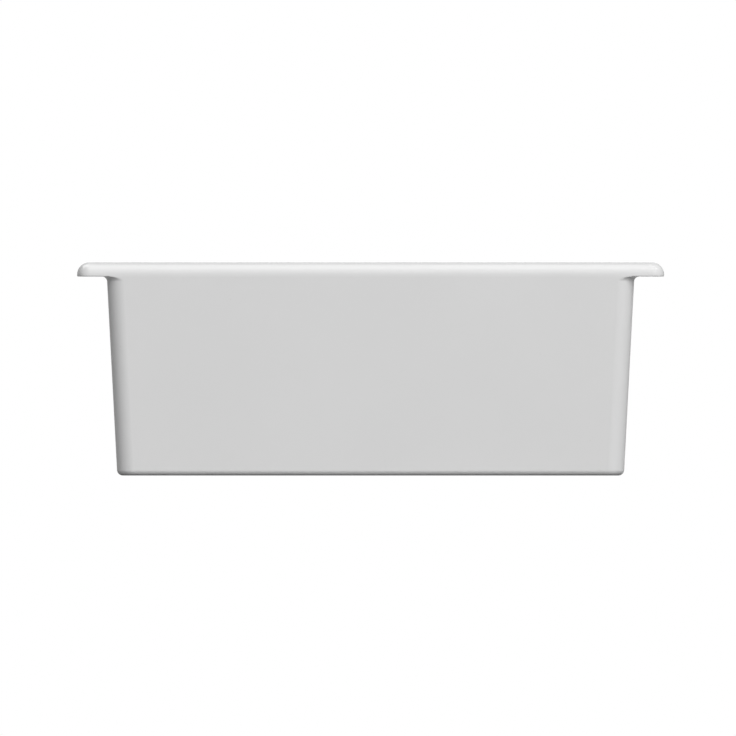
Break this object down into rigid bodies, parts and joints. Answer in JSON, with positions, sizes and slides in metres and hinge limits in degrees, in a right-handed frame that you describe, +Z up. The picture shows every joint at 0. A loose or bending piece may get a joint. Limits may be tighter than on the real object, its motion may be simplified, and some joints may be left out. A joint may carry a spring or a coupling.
{
  "type": "undermount bathroom sink",
  "caption": "Rectangular undermount basin of glazed ceramic with drafted outer walls, a flat rim, an overflow and a push-button waste.",
  "frame": {"origin": "centre of the bounding box's bottom, under the drain, on the surface that the foot stands on", "axes": "+X to the right along the long side, +Y from the flush front towards the back, +Z up out of the bowl"},
  "size_m": [0.5334, 0.381, 0.1936],
  "materials": {
    "glaze": "white glossy glaze",
    "chrome": "polished chrome plate",
    "brass": "turned brass",
    "rubber": "matte black",
    "nylon": "satin natural",
    "acetal": "satin black",
    "spring_steel": "drawn wire"
  },
  "bodies": {
    "basin_and_waste": {"basin": "glaze", "overflow_ring": "chrome", "waste_body": "chrome", "flange_gasket": "rubber", "cone_gasket": "rubber", "slip_washer": "nylon", "back_nut": "brass", "click_housing": "acetal", "click_collar": "brass", "click_spring": "spring_steel"},
    "stopper": {"stopper_cap": "chrome", "stopper_seal": "rubber", "click_plunger": "brass", "click_ratchet": "acetal"}
  },
  "joints": [
    {"name": "stopper_slide", "type": "slide", "parent": "basin_and_waste", "child": "stopper", "axis": [0, 0, 1], "range_m": [0, 0.0085], "deforming": ["click_spring"]}
  ]
}
